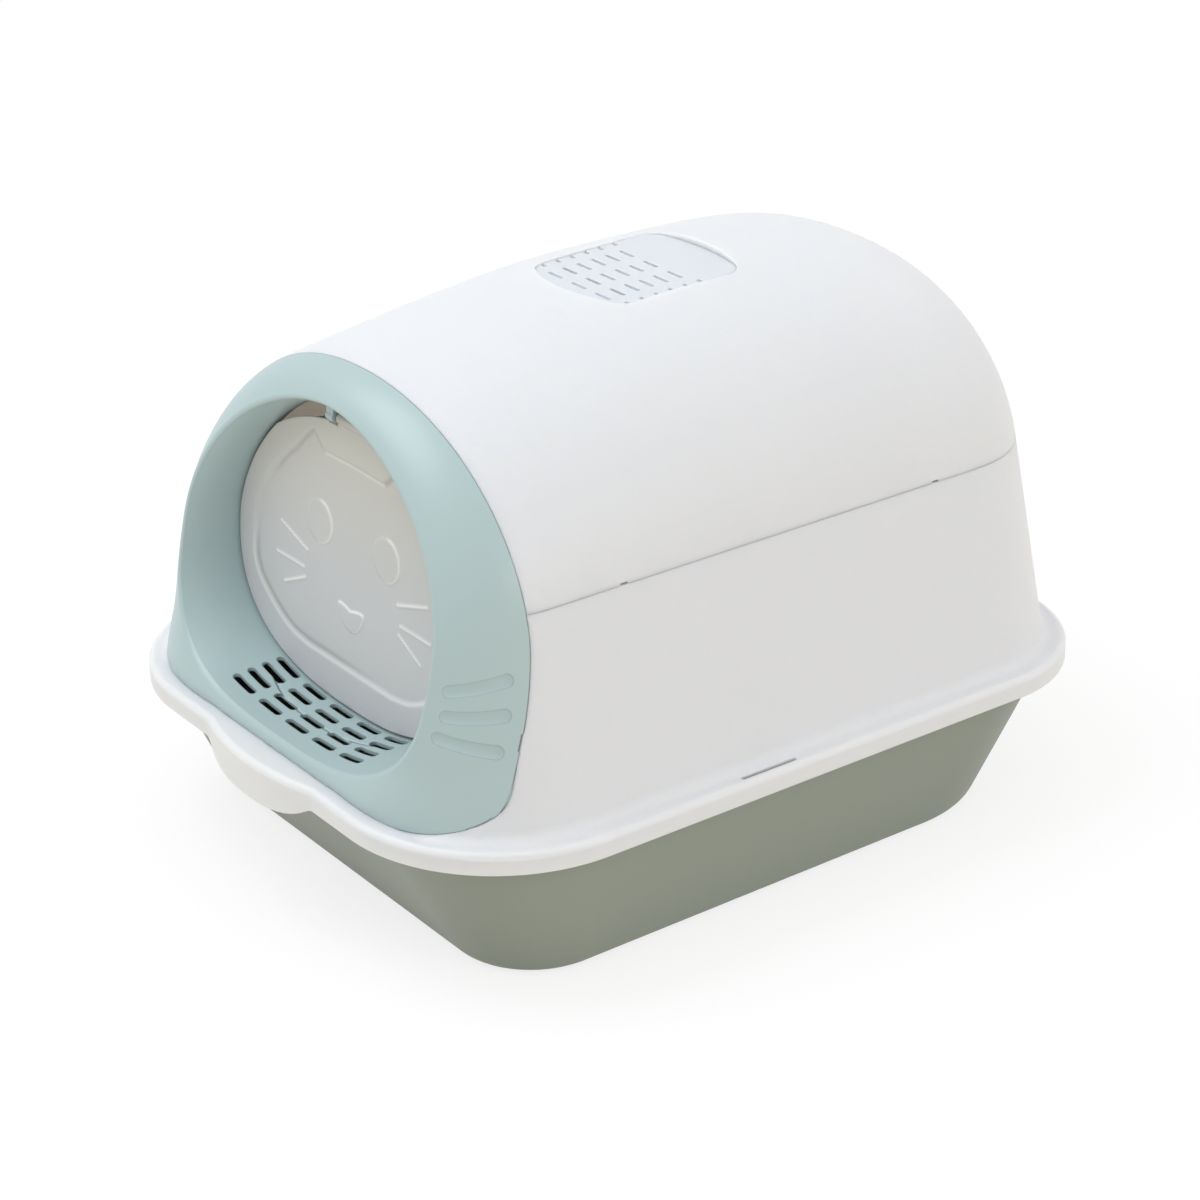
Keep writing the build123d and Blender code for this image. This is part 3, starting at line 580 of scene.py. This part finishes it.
def flap_painted_light(x, z):
    """Painted light of the front: above 0 a painted highlight where an edge or a line catches the light,
    below 0 painted shade in a dim corner.

    It is a sum of ridges over the distance to each line, each times its strength and its fades.
    """
    height = z + FLAP_MIDDLE
    painted_light = np.zeros(x.shape)
    strength, width = EYE_PAINTED_HIGHLIGHT
    for side in (-1, 1):
        across, up = x - side * EYE_X, height - EYE_Z
        turn = np.cos(np.arctan2(up, across) + EYE_LIT_TURN)
        painted_light += strength * ridge(np.hypot(across, up) - EYE_RADIUS, width) * fade(turn, *EYE_LIT_FADE)
    strength, width = NOSE_PAINTED_HIGHLIGHT
    nose = strength * ridge(signed_distance(x, height, rounded_path(NOSE, 4)), width)
    painted_light += nose * (1 - fade(x, *NOSE_OPEN_X) * fade(height, *NOSE_OPEN_Z))
    strength, width = WHISKER_PAINTED_HIGHLIGHT
    for ends in WHISKERS:
        painted_light += strength * ridge(distance_to(np.abs(x), height, ends), width)
    away = signed_distance(x, height, head_outline())
    low = fade(height, *CHIN_FADE_Z)
    painted_light += CHIN_PAINTED_HIGHLIGHT[0] * low * ridge(away - CHIN_HIGHLIGHT_OUT, CHIN_PAINTED_HIGHLIGHT[1])
    painted_light -= CHIN_PAINTED_SHADE[0] * low * fade(x, *CHIN_SHADE_X) * ridge(away + CHIN_SHADE_IN, CHIN_PAINTED_SHADE[1])
    brow = fade(np.abs(x), *BROW_X) * fade(height, *BROW_Z)
    painted_light += BROW_PAINTED_HIGHLIGHT[0] * brow * ridge(away, BROW_PAINTED_HIGHLIGHT[1])
    painted_light -= EAR_PAINTED_SHADE[0] * fade(height, *EAR_FADE_Z) * (1 - brow) * ridge(away, EAR_PAINTED_SHADE[1])
    return np.clip(painted_light, -1, 1)


def flap_back(x, z):
    """Depth of the back: the plate's thickness, and a bulge behind the face panel."""
    return FLAP_THICK + PANEL_BULGE * head_recess(x, z)


def on_door(points):
    """From the door plane's millimetres, X, depth and Z, to metres in the frame: a turn by the lean."""
    x, depth, z = points.T / 1000
    up = z - DOOR_Z
    lean, level = math.sin(DOOR_LEAN), math.cos(DOOR_LEAN)
    return np.stack([x, DOOR_Y + depth * level + up * lean, DOOR_Z - depth * lean + up * level], -1)


def make_flap():
    """Frosted flap: the plate with its face, and a turned barrel with pins along the hinge axis."""
    points, faces = plate(flap_radius, flap_front, flap_back, FLAP_EDGE, FLAP_THICK, FLAP_GRID)
    front = (FLAP_GRID[0] + 1) * (FLAP_GRID[1] + 1)
    # Painted highlights and painted shade of the relief, kept as a value on each front point
    painted_light = flap_painted_light(points[:front, 0], points[:front, 2])
    points[:, 2] += FLAP_MIDDLE
    profile = HINGE_PROFILE + [(-x, r) for x, r in reversed(HINGE_PROFILE)]
    barrel, barrel_faces = turned(profile, HINGE_SIDES)
    barrel += (0, HINGE_DEPTH, HINGE_Z)
    parts = [(on_door(points), faces), (on_door(barrel), barrel_faces)]
    piece = add_piece("frosted_flap", parts, make_flap_material())
    painted_light_layer = piece.data.attributes.new("painted_light", "FLOAT", "POINT")
    painted_light_layer.data.foreach_set("value", np.pad(painted_light, (0, len(piece.data.vertices) - front)))
    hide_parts("flap_door")
    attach(piece, "flap")


def pad_radius(angle, part):
    """Rectangle with well rounded corners: a superellipse of a high power, the same at every part."""
    return superellipse(angle, *PAD_HALF, PAD_POWER)


def pad_face(x, z):
    """Depth of the felt: it falls away as a high power of the part of the way to the nearest edge.

    Swaying waves, a sine across whose phase is a sine along, lie on it and fade towards the edge.
    """
    fall = np.maximum(np.abs(x) / PAD_HALF[0], np.abs(z) / PAD_HALF[1]) ** PAD_CROWN_POWER
    wave = np.sin(x * WAVE_ACROSS + WAVE_SWAY * np.sin(z * WAVE_ALONG))
    return PAD_CROWN * fall + WAVE_HIGH * wave * (1 - fall)


def pad_back(x, z):
    """Depth of the pad's flat underside: its thickness everywhere."""
    return np.full(x.shape, PAD_BOTTOM - PAD_TOP)


def make_pad():
    """Felt pad on the vent's sloping plane: a plate turned by the slope about the vent's pivot."""
    thick = PAD_BOTTOM - PAD_TOP
    points, faces = plate(pad_radius, pad_face, pad_back, PAD_EDGE, thick, PAD_GRID)
    x, depth, y = points.T
    y, depth = y + PAD_MIDDLE - VENT_PIVOT[0], depth + PAD_TOP
    slope, level = math.sin(VENT_TILT), math.cos(VENT_TILT)
    back, up = y * level + depth * slope, y * slope - depth * level
    place = np.stack([x, VENT_PIVOT[0] + back, VENT_PIVOT[1] + up], -1)
    felt = plastic(
        "filter_felt", PAD_GREY, FELT_ROUGHNESS, grain_depth=0.0004, mottling=0.2, scuffed=0.0
    )[0]
    piece = add_piece("filter_felt_pad", [(place / 1000, faces)], felt)
    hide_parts("filter_pad")
    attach(piece, "vent")


def make_shell_material():
    """White plastic of the hood and the lower cover, which glows a little where light is behind it."""
    material, shader, _, _ = plastic("shell_white", SHELL_WHITE, SHELL_ROUGHNESS)
    glow_through(shader, *SHELL_GLOW)
    return material


def make_frame_material():
    """Blue-green plastic of the entry frame, a little glossier, with softened edges and painted shade
    along them.
    """
    material, shader, tree, _ = plastic("frame_blue_green", FRAME_GREEN, FRAME_ROUGHNESS)
    shader.inputs["Specular IOR Level"].default_value = FRAME_SPECULAR
    round_and_shade_edges(tree, shader)
    return material


def make_vent_material():
    """Translucent pale grey plastic of the vent cover."""
    material, shader, _, _ = plastic("vent_translucent", VENT_GREY, VENT_ROUGHNESS)
    glow_through(shader, *VENT_GLOW)
    return material


def make_flap_material():
    """Frosted flap: painted highlights on its relief's edges and lines and painted shade in its dim
    corners, after the surface's own painted-light values.

    The flat faces go from a cool grey below to a warm one above, a painted glow where the hood's light
    comes through.
    """
    material, shader, tree, grain = plastic("frosted_flap", FLAP_COOL, FLAP_ROUGHNESS, mottling=0.08)
    link = tree.links.new
    place = node(tree, "ShaderNodeTexCoord")
    parts = node(tree, "ShaderNodeSeparateXYZ")
    link(place.outputs["Object"], parts.inputs[0])
    # Painted glow: warmer higher up, where the hood's light comes through
    rise = node(tree, "ShaderNodeMapRange", interpolation_type="SMOOTHSTEP")
    rise.inputs["From Min"].default_value = PAINTED_GLOW_FROM_Z
    rise.inputs["From Max"].default_value = PAINTED_GLOW_TO_Z
    link(parts.outputs["Z"], rise.inputs["Value"])
    flat = node(tree, "ShaderNodeMix", data_type="RGBA")
    flat.inputs["A"].default_value = (*FLAP_COOL, 1)
    flat.inputs["B"].default_value = (*FLAP_PAINTED_GLOW, 1)
    link(rise.outputs["Result"], flat.inputs["Factor"])
    # Painted light read back: towards -1 painted shade, towards +1 painted highlight
    painted_light = node(tree, "ShaderNodeAttribute", attribute_name="painted_light")
    below = flat.outputs["Result"]
    for bound, colour in ((-1.0, FLAP_PAINTED_SHADE), (1.0, FLAP_PAINTED_HIGHLIGHT)):
        amount = node(tree, "ShaderNodeMapRange")
        amount.inputs["From Max"].default_value = bound
        link(painted_light.outputs["Fac"], amount.inputs["Value"])
        mix = node(tree, "ShaderNodeMix", data_type="RGBA")
        mix.inputs["B"].default_value = (*colour, 1)
        link(amount.outputs["Result"], mix.inputs["Factor"])
        link(below, mix.inputs["A"])
        below = mix.outputs["Result"]
    link(below, grain.inputs["Colour"])
    glow_through(shader, *FLAP_GLOW)
    return material


def make_camera():
    """Camera on a sphere round the box at the view's angles, rolled and shifted in its own plane."""
    azimuth, elevation, roll = (math.radians(a) for a in (VIEW_AZIMUTH, VIEW_ELEVATION, VIEW_ROLL))
    back = Vector((
        math.sin(azimuth) * math.cos(elevation),
        -math.cos(azimuth) * math.cos(elevation),
        math.sin(elevation),
    ))
    right = Vector((math.cos(azimuth), math.sin(azimuth), 0))
    up = back.cross(right)
    across = math.cos(roll) * right + math.sin(roll) * up
    upward = -math.sin(roll) * right + math.cos(roll) * up
    place = Vector((0, 0, VIEW_CENTRE_Z)) + back * VIEW_DISTANCE
    place += across * VIEW_SHIFT_RIGHT + upward * VIEW_SHIFT_UP
    camera = bpy.data.objects.new("camera", bpy.data.cameras.new("camera"))
    camera.data.lens = VIEW_LENS
    camera.data.sensor_width = VIEW_SENSOR
    camera.data.clip_end = VIEW_FAR
    turn = Matrix((across, upward, back)).transposed().to_4x4()
    camera.matrix_world = Matrix.Translation(place) @ turn
    bpy.context.scene.collection.objects.link(camera)
    bpy.context.scene.camera = camera


def make_floor():
    """Wide square floor: a plain warm surface to the light that falls on the object.

    To the camera, in reflections and through glass it is white with a soft shadow.
    """
    mesh = bpy.data.meshes.new("floor")
    corners = [(x * FLOOR_HALF, y * FLOOR_HALF, 0) for x, y in ((-1, -1), (1, -1), (1, 1), (-1, 1))]
    mesh.from_pydata(corners, [], [(0, 1, 2, 3)])
    floor = bpy.data.objects.new("floor", mesh)
    bpy.context.scene.collection.objects.link(floor)
    material = bpy.data.materials.new("floor_white")
    material.use_nodes = True
    tree = material.node_tree
    link = tree.links.new
    tree.nodes.clear()
    path = node(tree, "ShaderNodeLightPath")
    seen = path.outputs["Is Camera Ray"]
    for label in ("Is Glossy Ray", "Is Transmission Ray"):
        either = node(tree, "ShaderNodeMath", operation="MAXIMUM")
        link(seen, either.inputs[0])
        link(path.outputs[label], either.inputs[1])
        seen = either.outputs[0]
    plain = node(tree, "ShaderNodeBsdfDiffuse")
    plain.inputs["Color"].default_value = (*FLOOR_WARM, 1)
    shaded = node(tree, "ShaderNodeBsdfDiffuse")
    shaded.inputs["Color"].default_value = (1, 1, 1, 1)
    white = node(tree, "ShaderNodeEmission")
    white.inputs["Color"].default_value = (1, 1, 1, 1)
    sweep = node(tree, "ShaderNodeMixShader")
    sweep.inputs["Fac"].default_value = FLOOR_GLOW
    link(shaded.outputs[0], sweep.inputs[1])
    link(white.outputs[0], sweep.inputs[2])
    both = node(tree, "ShaderNodeMixShader")
    link(seen, both.inputs["Fac"])
    link(plain.outputs[0], both.inputs[1])
    link(sweep.outputs[0], both.inputs[2])
    out = node(tree, "ShaderNodeOutputMaterial")
    link(both.outputs[0], out.inputs["Surface"])
    mesh.materials.append(material)


def make_world():
    """White to the camera, a plain soft light otherwise."""
    world = bpy.data.worlds.new("studio")
    bpy.context.scene.world = world
    world.use_nodes = True
    tree = world.node_tree
    tree.nodes.clear()
    path = node(tree, "ShaderNodeLightPath")
    backdrop = node(tree, "ShaderNodeBackground")
    backdrop.inputs["Color"].default_value = (1, 1, 1, 1)
    ambient = node(tree, "ShaderNodeBackground")
    ambient.inputs["Color"].default_value = (1, 1, 1, 1)
    ambient.inputs["Strength"].default_value = AMBIENT
    mix = node(tree, "ShaderNodeMixShader")
    tree.links.new(path.outputs["Is Camera Ray"], mix.inputs["Fac"])
    tree.links.new(ambient.outputs[0], mix.inputs[1])
    tree.links.new(backdrop.outputs[0], mix.inputs[2])
    out = node(tree, "ShaderNodeOutputWorld")
    tree.links.new(mix.outputs[0], out.inputs["Surface"])


def make_lamp(name, place, size, power, colour):
    """Round soft lamp that faces the box."""
    data = bpy.data.lights.new(name, "AREA")
    data.shape = "DISK"
    data.size = size
    data.energy = power
    data.color = colour
    lamp = bpy.data.objects.new(name, data)
    direction = Vector(LAMP_AIM) - Vector(place)
    turn = direction.to_track_quat("-Z", "Y").to_matrix().to_4x4()
    lamp.matrix_world = Matrix.Translation(Vector(place)) @ turn
    bpy.context.scene.collection.objects.link(lamp)


shell = make_shell_material()
dress("hood", shell)
dress("lower_cover", shell)
dress("entry_frame", make_frame_material())
dress("litter_pan", plastic("tub_grey_green", TUB_GREEN, TUB_ROUGHNESS)[0])
make_flap()
make_pad()
dress("vent_cover", make_vent_material())
make_camera()
make_floor()
make_world()
make_lamp("top_softbox", **TOP_SOFTBOX)
make_lamp("side_fill", **SIDE_FILL)
bpy.context.scene.view_settings.view_transform = "Standard"
